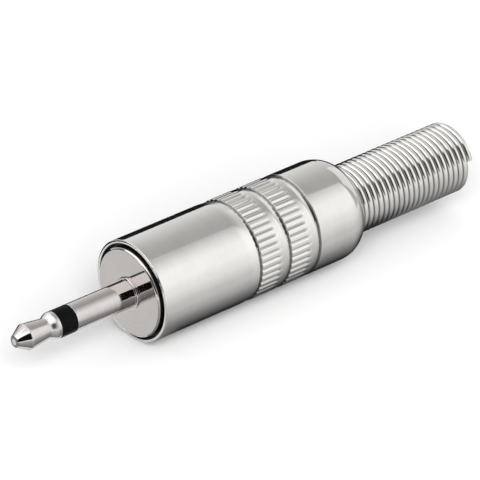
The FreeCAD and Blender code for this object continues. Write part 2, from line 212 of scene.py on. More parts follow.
# %% [markdown]
# ## The tip contact
#
# The tip is one turned brass piece with nickel on it: a blunt cone, the long taper behind it that
# the spring of a jack snaps over, a shoulder and a narrow collar. Its rod runs back through the
# sleeve and is peened over the tip's lug. The outline is drawn once, from the flat of the nose to
# the flat of the rod's end, and both ends are closed.

# %% Turn the tip contact
tip_corners = [
    (-12.28, 0.2, 0),
    (-12.28, 0.5, 0.1),
    (-11.13, 1.2, 0.1),
    (-10.9, 1.1719, 0),
    (-9.2, 0.9644, 0),
    (-9.0, 0.94, 0.19),
    (-8.56, 1.2, 0.17),
    (-8.38, 1.25, 0.08),
    (-8.1, 1.25, 0.02),
    (-8.1, 0.5, 0),
    (6.94, 0.5, 0),
    (6.94, 0.85, 0.04),
    (7.09, 0.85, 0.06),
    (7.24, 0.5, 0.08),
    (7.24, 0.2, 0),
]
tip = turn("tip_turned", rounded(tip_corners), sides=128, hollow=False)
finish_piece(tip, "plug_core", "tip_contact")

# %% [markdown]
# ## The black ring
#
# The insulator is a moulded bush. What shows is the ring on the pin, turned flush with the metal
# on both sides, so its edges are crisp. Its thin tube runs round the rod.

# %% Turn the insulator
bush_corners = [
    (-8.1, 0.52, 0),
    (-8.1, 1.25, 0.015),
    (-6.4, 1.25, 0.015),
    (-6.4, 0.82, 0),
    (6.09, 0.82, 0.05),
    (6.09, 0.52, 0.05),
]
bush = turn("insulator_bush", rounded(bush_corners), sides=128, hollow=True)
finish_piece(bush, "plug_core", "tip_insulator")

# %% [markdown]
# ## Sleeve, flange and spigot
#
# The pin's sleeve, the polished flange and the threaded spigot are one turned piece. The lip at
# the root of the pin is its smallest feature and shows twice, because the flange mirrors it.
#
# The thread is cut into the spigot as a lathe does it. A cutter with the thread's own triangle for
# a section is wound round the axis by the Screw modifier, half a millimetre further each turn, and
# a Boolean modifier takes it away. It starts in the relief groove, where it touches nothing, and
# runs out over the end, so the thread has a true beginning and end.

# %% Turn the sleeve
sleeve_corners = [
    (-6.4, 0.84, 0),
    (-6.4, 1.25, 0.02),
    (-6.2, 1.25, 0),
    (-0.4, 1.25, 0),
    (-0.2, 1.25, 0.03),
    (-0.2, 1.45, 0.06),
    (0, 1.45, 0.03),
    (0, 1.6, 0),
    (0, 3.8, 0),
    (0, 3.93, 0.04),
    (0.12, 4.05, 0.04),
    (1.24, 4.05, 0.06),
    (1.24, 3.4, 0.06),
    (1.74, 3.4, 0.06),
    (2.04, 3.7, 0.03),
    (5.14, 3.7, 0.03),
    (5.44, 3.4, 0.03),
    (5.44, 1.6, 0.05),
    (5.84, 1.6, 0),
    (5.84, 1.9, 0.05),
    (6.0, 1.8, 0.07),
    (6.09, 1.5, 0.06),
    (6.09, 0.84, 0.03),
]
sleeve = turn("sleeve_turned", rounded(sleeve_corners), sides=160, hollow=True)

# %% Cut the thread
THREAD_PITCH = 0.5
THREAD_START = 1.42
THREAD_TURNS = 9
THREAD_STEPS = 72
CUTTER_RADIUS = 0.25
CUTTER_HEIGHT = 3.66


def thread_cutter():
    """The cutter of the thread: a triangle wound round the axis, its point inwards."""
    middle = (THREAD_START, 0, CUTTER_HEIGHT)
    bpy.ops.mesh.primitive_circle_add(
        vertices=3, radius=CUTTER_RADIUS, location=middle, rotation=(math.pi / 2, 0, 0)
    )
    cutter = bpy.context.object
    bpy.ops.object.transform_apply(location=True, rotation=True, scale=True)
    bpy.ops.object.mode_set(mode="EDIT")
    bpy.ops.mesh.select_all(action="SELECT")
    bpy.ops.transform.resize(value=(1, 1, -1), center_override=middle)
    bpy.ops.object.mode_set(mode="OBJECT")
    winding = cutter.modifiers.new("winding", "SCREW")
    winding.axis = "X"
    winding.angle = math.tau
    winding.screw_offset = THREAD_PITCH
    winding.iterations = THREAD_TURNS
    winding.steps = THREAD_STEPS
    winding.render_steps = THREAD_STEPS
    bpy.ops.object.modifier_apply(modifier=winding.name)
    bpy.ops.object.mode_set(mode="EDIT")
    bpy.ops.mesh.select_mode(type="EDGE")
    bpy.ops.mesh.select_all(action="DESELECT")
    bpy.ops.mesh.select_non_manifold()
    bpy.ops.mesh.fill()
    bpy.ops.mesh.select_all(action="SELECT")
    bpy.ops.mesh.normals_make_consistent(inside=False)
    bpy.ops.object.mode_set(mode="OBJECT")
    return cutter


cutter = thread_cutter()
print("thread cutter:", len(cutter.data.polygons), "faces")
pick(sleeve)
cutting = sleeve.modifiers.new("thread", "BOOLEAN")
cutting.operation = "DIFFERENCE"
cutting.solver = "EXACT"
cutting.object = cutter
bpy.ops.object.modifier_apply(modifier=cutting.name)
bpy.data.objects.remove(cutter)
finish_piece(sleeve, "plug_core", "sleeve_contact")

# %% [markdown]
# ## The barrel
#
# The barrel is turned from bar, bored in steps and screwed over the spigot. Three grooves run round
# it, each with a softly rounded bevel ahead of it and an upright wall behind. The two bands behind
# the first two walls carry 44 flutes each for the fingers. It ends in a dome.
#
# The ring that grows into the barrel has eleven points for each flute, and one of them is always
# the flute's deepest line. After turning, the points of the two bands are pushed towards the axis
# row by row, so that each flute is a V which opens into the groove ahead of it and fades out at
# its other end.

# %% Sizes of the barrel
BARREL_RADIUS = 4.65
WALL_HEIGHT = 0.24
WALLS = (11.09, 14.44, 17.79)
GROOVE_WIDTH = 0.3
BEVEL_DEPTH = 0.09
BEVELS = (0.85, 0.4, 0.4)
BEVEL_ROUND = 0.4
PLAIN_AHEAD = 0.1
PLAIN_BEHIND = 0.2
FLUTE_COUNT = 44
POINTS_PER_FLUTE = 11
FLUTE_REACH = 2.1
FLUTE_RISE = 0.16
RISING_SHARE = 0.6
DOME_RADIUS = 2.63
DOME_START = 21.568
DOME_STEPS = 18
BARREL_REAR = 23.59
REAR_RIM = 3.705
REAR_BORE = 3.275
SHOULDER = 20.79
SHOULDER_BEVEL = 0.25
BORE = 3.75
MOUTH = 0.34
MOUTH_BORE = 4.35
MOUTH_STEP = 1.24


# %% Turn the barrel
def barrel_corners():
    """The barrel's outline from the mouth back over the outside and forward through the bore."""
    corners = [
        (MOUTH, MOUTH_BORE, 0.04),
        (MOUTH, BARREL_RADIUS, 0.08),
        (0.6, BARREL_RADIUS, 0),
    ]
    for wall, bevel in zip(WALLS, BEVELS):
        cut = BEVEL_ROUND * bevel
        corners += [
            (wall - GROOVE_WIDTH - bevel - cut - PLAIN_AHEAD, BARREL_RADIUS, 0),
            (wall - GROOVE_WIDTH - bevel, BARREL_RADIUS, cut),
            (wall - GROOVE_WIDTH, BARREL_RADIUS - BEVEL_DEPTH, 0.05),
            (wall, BARREL_RADIUS - WALL_HEIGHT, 0.03),
            (wall, BARREL_RADIUS, 0.035),
            (wall + PLAIN_BEHIND, BARREL_RADIUS, 0),
        ]
        if wall != WALLS[-1]:
            band_end = wall + FLUTE_REACH
            corners += [(band_end - rise * FLUTE_RISE, BARREL_RADIUS, 0) for rise in (2, 1, 0)]
    fall = math.acos((REAR_RIM - BARREL_RADIUS + DOME_RADIUS) / DOME_RADIUS)
    for step in range(DOME_STEPS + 1):
        angle = fall * step / DOME_STEPS
        x = DOME_START + DOME_RADIUS * math.sin(angle)
        corners.append((x, BARREL_RADIUS - DOME_RADIUS * (1 - math.cos(angle)), 0))
    corners += [
        (BARREL_REAR, REAR_BORE, 0.04),
        (SHOULDER + SHOULDER_BEVEL, REAR_BORE, 0.03),
        (SHOULDER, REAR_BORE + SHOULDER_BEVEL, 0.03),
        (SHOULDER, BORE, 0.05),
        (MOUTH_STEP, BORE, 0.03),
        (MOUTH_STEP, MOUTH_BORE, 0.03),
    ]
    return corners


barrel = turn(
    "barrel_turned", rounded(barrel_corners()), FLUTE_COUNT * POINTS_PER_FLUTE, hollow=True
)
print("barrel:", len(barrel.data.vertices), "points")

# %% Press in the flutes
FLUTE_DEPTHS = {0: 0.125, 1: 0.088, 2: 0.046, 3: 0.006}
ON_RING = 0.001


def flute_row(place):
    """How many points a place on the barrel lies from the nearest flute's deepest line."""
    share = math.atan2(place.z, place.y) / math.tau * FLUTE_COUNT * POINTS_PER_FLUTE
    row = round(share) % POINTS_PER_FLUTE
    return min(row, POINTS_PER_FLUTE - row)


def band_rings(wall):
    """The rings of points of one fluted band, each as its place and radius."""
    rings = set()
    for point in barrel.data.vertices:
        radius = math.hypot(point.co.y, point.co.z)
        inside = wall - SAME_PLACE < point.co.x < wall + FLUTE_REACH - ON_RING
        if inside and radius > BARREL_RADIUS - WALL_HEIGHT:
            rings.add((round(point.co.x, 3), round(radius, 3)))
    return sorted(rings)


def press_flutes(wall):
    """Pushes the rows of a band's flutes towards the axis, ring by ring."""
    pressed = 0
    for x, radius in band_rings(wall):
        rising = x > wall + FLUTE_REACH - 1.5 * FLUTE_RISE
        share = RISING_SHARE if rising else 1
        for row, depth in FLUTE_DEPTHS.items():
            floor = BARREL_RADIUS - depth * share
            if floor > radius - SAME_PLACE:
                continue

            def on_row(place):
                if abs(place.x - x) > ON_RING or flute_row(place) != row:
                    return False
                return abs(math.hypot(place.y, place.z) - radius) < ON_RING

            pressed += choose(barrel, on_row)
            shrink = floor / radius
            bpy.ops.transform.resize(value=(1, shrink, shrink), center_override=(x, 0, 0))
    return pressed


fluted_walls = WALLS[:2]
for wall in fluted_walls:
    print(f"band behind {wall} mm: {len(band_rings(wall))} rings")
pick(barrel)
bpy.ops.object.mode_set(mode="EDIT")
print("flute points:", sum(press_flutes(wall) for wall in fluted_walls))
bpy.ops.object.mode_set(mode="OBJECT")
finish_piece(barrel, "cover", "barrel")

# %% [markdown]
# ## The strain relief
#
# One steel wire, 0.57 mm thick, is wound close into 29 turns. The first turn is wide and caught
# behind the barrel's rear shoulder. A wire is a curve with a round bevel: the loop works out the
# points of its turns, the bevel gives it its thickness, and it is then made a mesh. Its two cut
# ends are closed.

# %% Wind the spring
WIRE_RADIUS = 0.285
COIL_PITCH = 0.594
COIL_RADIUS = 2.94
FLARE_RADIUS = 3.365
WIRE_START = 19.505
WIRE_END = 36.855
END_ANGLE = 165
FLARE_TURNS = 1.0
BLEND_TURNS = 0.6
TURN_STEPS = 64


def coil_points():
    """The points of the wire's middle line, right-handed from the wide front turn back."""
    turns = (WIRE_END - WIRE_START) / COIL_PITCH
    steps = round(turns * TURN_STEPS)
    points = []
    for step in range(steps + 1):
        turn_share = turns * step / steps
        blend = min(max((turn_share - FLARE_TURNS) / BLEND_TURNS, 0), 1)
        widening = (FLARE_RADIUS - COIL_RADIUS) * (1 + math.cos(math.pi * blend)) / 2
        radius = COIL_RADIUS + widening
        angle = math.radians(END_ANGLE - 360 * (turns - turn_share))
        x = WIRE_START + COIL_PITCH * turn_share
        points.append((x, radius * math.cos(angle), radius * math.sin(angle)))
    return points


wire_line = bpy.data.curves.new("spring_wound", "CURVE")
wire_line.dimensions = "3D"
wire_line.bevel_depth = WIRE_RADIUS
wire_line.bevel_resolution = 5
wire_line.use_fill_caps = True
run = wire_line.splines.new("POLY")
points = coil_points()
run.points.add(len(points) - 1)
for point, place in zip(run.points, points):
    point.co = (*place, 1)
spring = bpy.data.objects.new("spring_wound", wire_line)
bpy.context.scene.collection.objects.link(spring)
pick(spring)
bpy.ops.object.convert(target="MESH")
print(f"spring: {len(points)} places along {len(points) / TURN_STEPS:.1f} turns")
bpy.ops.object.mode_set(mode="EDIT")
weld()
finish_piece(spring, "cover", "strain_relief_spring")

# %% [markdown]
# ## Marks that the finishes share
#
# Three effects come back in several finishes or pieces, so each is a node group, built once:
#
# - turning marks: fine rings round the axis that the lathe leaves under the plating,
# - handling: slow clouds where fingers and the plating bath left the surface a little uneven, and
#   hair-fine scratches,
# - edges: a surface is rubbed brighter where it bends sharply out, and darker where it bends in.
#
# A group only puts out masks. Each material decides what a mask does to its colour, its roughness
# and its bump.

# %% Helpers for node trees
def new_group(name, inputs, outputs):
    """An empty node group with the given number inputs and mask outputs."""
    group = bpy.data.node_groups.new(name, "ShaderNodeTree")
    for label in inputs:
        group.interface.new_socket(name=label, in_out="INPUT", socket_type="NodeSocketFloat")
    for label in outputs:
        group.interface.new_socket(name=label, in_out="OUTPUT", socket_type="NodeSocketFloat")
    entry = group.nodes.new("NodeGroupInput")
    leave = group.nodes.new("NodeGroupOutput")
    return group, entry.outputs, leave.inputs


def feed(tree, socket, source):
    """Sets a socket to a number, or links it to the socket that is given."""
    if isinstance(source, (int, float)):
        socket.default_value = source
    else:
        tree.links.new(source, socket)


def set_inputs(node, **values):
    """Sets a node's inputs by their names, written with an underscore for each space."""
    for label, value in values.items():
        node.inputs[label.replace("_", " ")].default_value = value


def math_node(tree, operation, *sources):
    """A Math node whose inputs are numbers or sockets; returns its output."""
    node = tree.nodes.new("ShaderNodeMath")
    node.operation = operation
    for socket, source in zip(node.inputs, sources):
        feed(tree, socket, source)
    return node.outputs[0]


def stretch(tree, source, low, high, to_low=0.0, to_high=1.0):
    """Maps a mask from one range to another and clamps it."""
    node = tree.nodes.new("ShaderNodeMapRange")
    tree.links.new(source, node.inputs["Value"])
    set_inputs(node, From_Min=low, From_Max=high, To_Min=to_low, To_Max=to_high)
    return node.outputs["Result"]


def noise(tree, vector, scale, detail, roughness, fourth=None):
    """A Noise Texture read at a vector, with a fourth coordinate where one is given."""
    node = tree.nodes.new("ShaderNodeTexNoise")
    node.noise_dimensions = "4D" if fourth is not None else "3D"
    tree.links.new(vector, node.inputs["Vector"])
    if fourth is not None:
        tree.links.new(fourth, node.inputs["W"])
    feed(tree, node.inputs["Scale"], scale)
    set_inputs(node, Detail=detail, Roughness=roughness)
    return node.outputs["Fac"]


# %% Helpers for places
def place_on(tree):
    """The place on the piece, in metres."""
    return tree.nodes.new("ShaderNodeTexCoord").outputs["Object"]


def parts_of(tree, vector):
    """The three parts of a vector."""
    node = tree.nodes.new("ShaderNodeSeparateXYZ")
    tree.links.new(vector, node.inputs[0])
    return node.outputs


def mapped(tree, scale, rotation=(0.0, 0.0, 0.0)):
    """The place on the piece, turned and scaled, so that a noise read there is drawn out."""
    node = tree.nodes.new("ShaderNodeMapping")
    set_inputs(node, Rotation=rotation, Scale=scale)
    tree.links.new(place_on(tree), node.inputs["Vector"])
    return node.outputs[0]


def axis_places(tree):
    """The place along the axis, the distance from it, and its two parts, in metres."""
    along, side, up = parts_of(tree, place_on(tree))
    squares = [math_node(tree, "MULTIPLY", part, part) for part in (side, up)]
    return along, math_node(tree, "SQRT", math_node(tree, "ADD", *squares)), side, up


# %% Turning marks
PER_METRE = 1 / MILLIMETRE
LEAST_RADIUS = 1e-6


def build_turning_marks():
    """Rings round the axis: the noise reads the place along it, the radius and a little angle."""
    tree, given, result = new_group("turning_marks", ["Marks per mm", "Waviness"], ["Marks"])
    along, radius, side, up = axis_places(tree)
    waviness = given["Waviness"]
    scale = math_node(tree, "MULTIPLY", given["Marks per mm"], PER_METRE)
    divisor = math_node(tree, "MAXIMUM", radius, LEAST_RADIUS)
    round_y = math_node(tree, "DIVIDE", side, divisor)
    round_z = math_node(tree, "DIVIDE", up, divisor)
    join = tree.nodes.new("ShaderNodeCombineXYZ")
    factors = ((along, scale), (radius, scale), (round_y, waviness))
    for socket, (part, factor) in zip(join.inputs, factors):
        tree.links.new(math_node(tree, "MULTIPLY", part, factor), socket)
    fourth = math_node(tree, "MULTIPLY", round_z, waviness)
    marks = noise(tree, join.outputs[0], 1.0, detail=3.0, roughness=0.6, fourth=fourth)
    tree.links.new(marks, result["Marks"])
    return tree


turning_marks = build_turning_marks()

# %% Handling
SCRATCH_TURNS = (0.5, 1.9)
SCRATCH_STRETCH = (1.0, 0.06, 1.0)
SCRATCH_WIDTH = 0.006


def build_handling():
    """Clouds a few millimetres wide and short scratches that run in two directions."""
    tree, given, result = new_group(
        "handling", ["Clouds per mm", "Scratches per mm"], ["Clouds", "Scratches"]
    )
    cloud_scale = math_node(tree, "MULTIPLY", given["Clouds per mm"], PER_METRE)
    clouds = noise(tree, place_on(tree), cloud_scale, detail=4.0, roughness=0.55)
    tree.links.new(stretch(tree, clouds, 0.3, 0.7), result["Clouds"])
    scratch_scale = math_node(tree, "MULTIPLY", given["Scratches per mm"], PER_METRE)
    masks = []
    for angle in SCRATCH_TURNS:
        turned = mapped(tree, SCRATCH_STRETCH, (angle, 0.7 * angle, 1.3 * angle))
        grain = noise(tree, turned, scratch_scale, detail=2.0, roughness=0.5)
        ridge = math_node(tree, "ABSOLUTE", math_node(tree, "SUBTRACT", grain, 0.5))
        masks.append(stretch(tree, ridge, 0.0, SCRATCH_WIDTH, 1.0, 0.0))
    tree.links.new(math_node(tree, "MAXIMUM", *masks), result["Scratches"])
    return tree


handling = build_handling()

# %% Edges
EDGE_FROM = 0.15


def build_edges():
    """Edges that bend out and corners that bend in, read from the bends stored in the points."""
    tree, given, result = new_group("edges", ["Width"], ["Worn edge", "Recess"])
    bend = tree.nodes.new("ShaderNodeAttribute")
    bend.attribute_name = "bend"
    share = math_node(tree, "DIVIDE", bend.outputs["Fac"], given["Width"])
    tree.links.new(stretch(tree, share, EDGE_FROM, 1.0), result["Worn edge"])
    tree.links.new(stretch(tree, share, -EDGE_FROM, -1.0), result["Recess"])
    return tree


edges = build_edges()
print("groups:", ", ".join(group.name for group in bpy.data.node_groups))

# %% [markdown]
# ## Nickel plate
#
# Nickel is a slightly warm grey mirror. On the real plug the barrel is polished after turning, so
# it mirrors the room with only a trace of the lathe's rings, the pin is polished a little finer,
# and the flange is a mirror. The Principled shader is fully metallic; within a piece colour differs
# by a few hundredths, and the pin's nickel is painted about a fifth darker than the barrel's, as
# painted shade that dims what the flange and pin mirror. Roughness lies between a twentieth and an
# eighth, and the marks are bumps of less than a thousandth of a millimetre.
#
# The bevels ahead of the grooves and the tip's shoulder are as the tool left them, so they are
# paler and less smooth. In the bore, the grooves, the flange's rim under the mouth, the rear rim
# and round the nose, shade is painted into the colour as a dark tone, and the plate is rougher
# there. Each such place is given by two distances in millimetres, along the axis or from it:
# where its mask starts, and where it is full.

# %% Helpers for materials
def new_material(name, **values):
    """A material, its tree and its Principled shader, with the inputs that are one value."""
    material = bpy.data.materials.new(name)
    material.use_nodes = True
    shader = material.node_tree.nodes["Principled BSDF"]
    set_inputs(shader, **values)
    return material, material.node_tree, shader


def use_group(tree, group, **values):
    """Places a group in a material, sets its inputs and returns its outputs."""
    node = tree.nodes.new("ShaderNodeGroup")
    node.node_tree = group
    set_inputs(node, **values)
    return node.outputs


def blend_colours(tree, mask, low, high):
    """A colour between two, by a mask; each colour is given as numbers or comes from a socket."""
    node = tree.nodes.new("ShaderNodeMix")
    node.data_type = "RGBA"
    tree.links.new(mask, node.inputs["Factor"])
    for label, source in (("A", low), ("B", high)):
        socket = [item for item in node.inputs if item.name == label and item.type == "RGBA"][0]
        if isinstance(source, tuple):
            socket.default_value = (*source, 1.0)
        else:
            tree.links.new(source, socket)
    return [item for item in node.outputs if item.type == "RGBA"][0]


def add_up(tree, *parts):
    """The sum of masks, each given with its share."""
    total = 0.0
    for source, share in parts:
        total = math_node(tree, "ADD", total, math_node(tree, "MULTIPLY", source, share))
    return total


def feed_shader(tree, shader, colour, roughness, bumps):
    """Links a shader's colour and roughness, and one Bump node for each height mask and depth."""
    tree.links.new(colour, shader.inputs["Base Color"])
    tree.links.new(roughness, shader.inputs["Roughness"])
    normal = None
    for height, depth in bumps:
        bump = tree.nodes.new("ShaderNodeBump")
        set_inputs(bump, Distance=depth, Strength=1.0)
        tree.links.new(height, bump.inputs["Height"])
        if normal is not None:
            tree.links.new(normal, bump.inputs["Normal"])
        normal = bump.outputs["Normal"]
    tree.links.new(normal, shader.inputs["Normal"])


def dress(piece, material):
    """Gives a piece one material all over."""
    piece.data.materials.clear()
    piece.data.materials.append(material)


# %% Places where shade is painted on the plate
INSIDE_BORE = (4.37, 4.33)
BEHIND_MOUTH = (0.5, 0.8)
INSIDE_GROOVE = (4.51, 4.47)
BEHIND_PLAIN_FRONT = (9.0, 9.2)
AHEAD_OF_REAR = (21.0, 20.8)
AT_REAR_RIM = (23.42, 23.5)
AT_FLANGE_RIM = (3.9, 3.95)
BEHIND_FLANGE_FACE = (0.14, 0.2)
AT_NOSE = (-12.2, -12.24)
ROUND_NOSE = (0.24, 0.32)
# How dark shade is painted at each place, as a share of the dark tone.
GROOVE_PAINTED_SHADE = 0.35
REAR_RIM_PAINTED_SHADE = 0.8
FLANGE_RIM_PAINTED_SHADE = 0.65
NOSE_PAINTED_SHADE = 0.75


def ranged(tree, source, places, level=1.0):
    """0 up to the first of two places in millimetres and the level from the second one on."""
    start, full = places
    return stretch(tree, source, start * MILLIMETRE, full * MILLIMETRE, 0.0, level)


def bore_painted_shade(tree):
    """Painted shade: 1 inside the barrel, and less in the grooves and at the rear rim."""
    along, radius = axis_places(tree)[:2]
    inside = math_node(
        tree, "MULTIPLY", ranged(tree, radius, INSIDE_BORE), ranged(tree, along, BEHIND_MOUTH)
    )
    grooves = math_node(
        tree,
        "MULTIPLY",
        ranged(tree, radius, INSIDE_GROOVE, GROOVE_PAINTED_SHADE),
        ranged(tree, along, BEHIND_PLAIN_FRONT),
    )
    either = math_node(tree, "MAXIMUM", inside, grooves)
    ahead = math_node(tree, "MULTIPLY", either, ranged(tree, along, AHEAD_OF_REAR))
    rear_rim = ranged(tree, along, AT_REAR_RIM, REAR_RIM_PAINTED_SHADE)
    return math_node(tree, "MAXIMUM", ahead, rear_rim)


def mouth_painted_shade(tree):
    """How much shade is painted on the flange's rim, which the mouth covers, and round the tip's
    nose.
    """
    along, radius = axis_places(tree)[:2]
    covered = ranged(tree, along, BEHIND_FLANGE_FACE, FLANGE_RIM_PAINTED_SHADE)
    rim = math_node(tree, "MULTIPLY", covered, ranged(tree, radius, AT_FLANGE_RIM))
    at_nose = ranged(tree, along, AT_NOSE, NOSE_PAINTED_SHADE)
    nose = math_node(tree, "MULTIPLY", at_nose, ranged(tree, radius, ROUND_NOSE))
    return math_node(tree, "MAXIMUM", rim, nose)


# %% Places that the tool left bright
OUTSIDE_GROOVE = (4.5, 4.53)
BEVEL_END = 0.05
BEHIND_NECK = (-9.15, -8.95)
AHEAD_OF_COLLAR = (-8.35, -8.5)


def bevel_mask(tree):
    """1 on the bevels ahead of the grooves, which the last cut of the tool left bright."""
    along, radius = axis_places(tree)[:2]
    anywhere = 0.0
    for wall, bevel in zip(WALLS, BEVELS):
        end = wall - GROOVE_WIDTH
        start = end - bevel
        soft = BEVEL_ROUND * bevel
        behind_start = ranged(tree, along, (start - soft, start + soft))
        ahead_of_end = ranged(tree, along, (end, end - BEVEL_END))
        mask = math_node(tree, "MULTIPLY", behind_start, ahead_of_end)
        anywhere = math_node(tree, "MAXIMUM", anywhere, mask)
    return math_node(tree, "MULTIPLY", anywhere, ranged(tree, radius, OUTSIDE_GROOVE))


def shoulder_mask(tree):
    """1 on the tip's shoulder, where the turning tool went in."""
    along = axis_places(tree)[0]
    behind_neck = ranged(tree, along, BEHIND_NECK)
    return math_node(tree, "MULTIPLY", behind_neck, ranged(tree, along, AHEAD_OF_COLLAR))


# %% Nickel plate, polished more or less
BARREL_DEEP = (0.592, 0.578, 0.556)
BARREL_BRIGHT = (0.642, 0.630, 0.610)
# The pin's nickel is painted about a fifth darker than the barrel's, as shade on its mirror.
PIN_SHADED_DEEP = (0.475, 0.447, 0.436)
PIN_SHADED_BRIGHT = (0.515, 0.487, 0.475)
NICKEL_WORN = (0.74, 0.725, 0.70)
NICKEL_FRESH = (0.72, 0.71, 0.69)
NICKEL_RECESS = (0.26, 0.245, 0.22)
# The dark tone of shade painted in the bore, the grooves, on the rims and round the nose.
NICKEL_PAINTED_SHADE = (0.042, 0.042, 0.041)
EDGE_WIDTH = 0.12
RECESS_SHARE = 0.3
PAINTED_SHADE_ROUGHNESS = 0.3
FRESH_ROUGHNESS = 0.16


def nickel(name, deep, bright, smooth, dull, mark_depth, marks_per_mm, painted_shade_mask_of, fresh):
    """Nickel plate between two colours and two roughnesses.

    Shade is painted dark where the mask of painted_shade_mask_of is 1, and it is paler and less
    smooth where fresh's mask is 1.
    """
    material, tree, shader = new_material(name, Metallic=1.0)
    marks = use_group(tree, turning_marks, Marks_per_mm=marks_per_mm, Waviness=0.5)["Marks"]
    handled = use_group(tree, handling, Clouds_per_mm=0.3, Scratches_per_mm=1.6)
    clouds = handled["Clouds"]
    bends = use_group(tree, edges, Width=EDGE_WIDTH)
    painted_shade = painted_shade_mask_of(tree)
    cut = fresh(tree)
    colour = blend_colours(tree, clouds, deep, bright)
    for mask, tone in (
        (stretch(tree, marks, 0.3, 0.7, 0.0, 0.2), NICKEL_WORN),
        (bends["Worn edge"], NICKEL_WORN),
        (math_node(tree, "MULTIPLY", bends["Recess"], RECESS_SHARE), NICKEL_RECESS),
        (cut, NICKEL_FRESH),
        # shade painted dark in the bore, the grooves, on the rims and round the nose
        (painted_shade, NICKEL_PAINTED_SHADE),
    ):
        colour = blend_colours(tree, mask, colour, tone)
    uneven = add_up(tree, (clouds, 0.6), (marks, 0.4), (handled["Scratches"], 0.2))
    polish = stretch(tree, uneven, 0.0, 1.2, smooth, dull)
    roughness = add_up(tree, (polish, 1.0), (painted_shade, PAINTED_SHADE_ROUGHNESS), (cut, FRESH_ROUGHNESS))
    bumps = [(marks, mark_depth), (clouds, mark_depth)]
    feed_shader(tree, shader, colour, roughness, bumps)
    return material


barrel_nickel = nickel(
    "barrel_nickel", BARREL_DEEP, BARREL_BRIGHT, smooth=0.06, dull=0.13,
    mark_depth=6e-7, marks_per_mm=9.0, painted_shade_mask_of=bore_painted_shade, fresh=bevel_mask,
)
pin_nickel_shaded = nickel(
    "pin_nickel_shaded", PIN_SHADED_DEEP, PIN_SHADED_BRIGHT, smooth=0.05, dull=0.11,
    mark_depth=2.5e-7, marks_per_mm=14.0, painted_shade_mask_of=mouth_painted_shade, fresh=shoulder_mask,
)
dress(barrel, barrel_nickel)
dress(sleeve, pin_nickel_shaded)
dress(tip, pin_nickel_shaded)
print("nickel on barrel, sleeve and tip")

# %% [markdown]
# ## Spring wire
#
# The wire is drawn through a die, then plated bright. Drawing leaves fine lines along the wire,
# which on a coil run round the plug's axis, so the same rings serve, closer together. On the inner
# side of the turns, where they close on each other, shade is painted into the colour as a dark
# tone.

# %% Plated wire
WIRE_DEEP = (0.62, 0.605, 0.58)
WIRE_BRIGHT = (0.70, 0.69, 0.67)
BETWEEN_TURNS = (3.10, 2.98)


def spring_plate():
    """Bright plated wire with drawing lines and painted shade on the inner side of the turns."""
    material, tree, shader = new_material("spring_plate", Metallic=1.0)
    lines = use_group(tree, turning_marks, Marks_per_mm=22.0, Waviness=1.2)["Marks"]
    clouds = use_group(tree, handling, Clouds_per_mm=0.5)["Clouds"]
    # painted shade: dark on the inner side of the coil, between the turns
    painted_shade = ranged(tree, axis_places(tree)[1], BETWEEN_TURNS)
    plate = blend_colours(tree, clouds, WIRE_DEEP, WIRE_BRIGHT)
    drawn = blend_colours(tree, stretch(tree, lines, 0.35, 0.7, 0.0, 0.3), plate, NICKEL_WORN)
    with_painted_shade = blend_colours(tree, painted_shade, drawn, NICKEL_PAINTED_SHADE)
    uneven = add_up(tree, (lines, 0.6), (clouds, 0.4))
    polish = stretch(tree, uneven, 0.1, 0.9, 0.08, 0.18)
    roughness = add_up(tree, (polish, 1.0), (painted_shade, PAINTED_SHADE_ROUGHNESS))
    feed_shader(tree, shader, with_painted_shade, roughness, [(lines, 1.0e-6)])
    return material


dress(spring, spring_plate())

# %% [markdown]
# ## Black plastic of the ring
#
# The ring is moulded and then turned flush with the pin, so it is satin, with the lathe's rings in
# it and a touch of dust.

# %% Satin black plastic
RING_BLACK = (0.002, 0.002, 0.0022)
RING_GREY = (0.005, 0.0048, 0.0048)
RING_DUST = (0.035, 0.034, 0.033)


def ring_plastic():
    """Black moulded plastic, turned flush: satin, with faint rings and grey dust."""
    material, tree, shader = new_material("ring_plastic", Specular_IOR_Level=0.03)
    marks = use_group(tree, turning_marks, Marks_per_mm=12.0, Waviness=0.4)["Marks"]
    handled = use_group(tree, handling, Clouds_per_mm=0.8, Scratches_per_mm=3.0)
    black = blend_colours(tree, handled["Clouds"], RING_BLACK, RING_GREY)
    dust = math_node(tree, "MULTIPLY", handled["Scratches"], 0.3)
    dusty = blend_colours(tree, dust, black, RING_DUST)
    polish = stretch(tree, marks, 0.3, 0.7, 0.28, 0.42)
    feed_shader(tree, shader, dusty, polish, [(marks, 1.5e-6)])
    return material


dress(bush, ring_plastic())

# %% [markdown]
# ## The solids that stay
#
# Two stamped lugs, the fibre washer and the clear tube are inside the barrel and keep their
# solids. Their finishes are as real as the outer ones: the lugs are rolled brass sheet with a
# dipped coat of tin, the washer is pressed fibre, and the tube is cut from clear plastic.

# %% Tinned sheet
TIN_DEEP = (0.60, 0.60, 0.585)
TIN_BRIGHT = (0.76, 0.76, 0.745)
TIN_LINE = (0.5, 0.49, 0.47)


def tinned_sheet():
    """Dipped tin on rolled sheet: soft clouds, rolling lines along the strip, some dull spots."""
    material, tree, shader = new_material("tinned_sheet", Metallic=1.0)
    clouds = use_group(tree, handling, Clouds_per_mm=0.9)["Clouds"]
    drawn = mapped(tree, (300.0, 9000.0, 9000.0))
    lines = noise(tree, drawn, 1.0, detail=3.0, roughness=0.6)
    tin = blend_colours(tree, clouds, TIN_DEEP, TIN_BRIGHT)
    lined = blend_colours(tree, stretch(tree, lines, 0.4, 0.75, 0.0, 0.35), tin, TIN_LINE)
    uneven = add_up(tree, (clouds, 0.5), (lines, 0.5))
    polish = stretch(tree, uneven, 0.1, 0.9, 0.22, 0.42)
    feed_shader(tree, shader, lined, polish, [(clouds, 6e-6), (lines, 2e-6)])
    return material


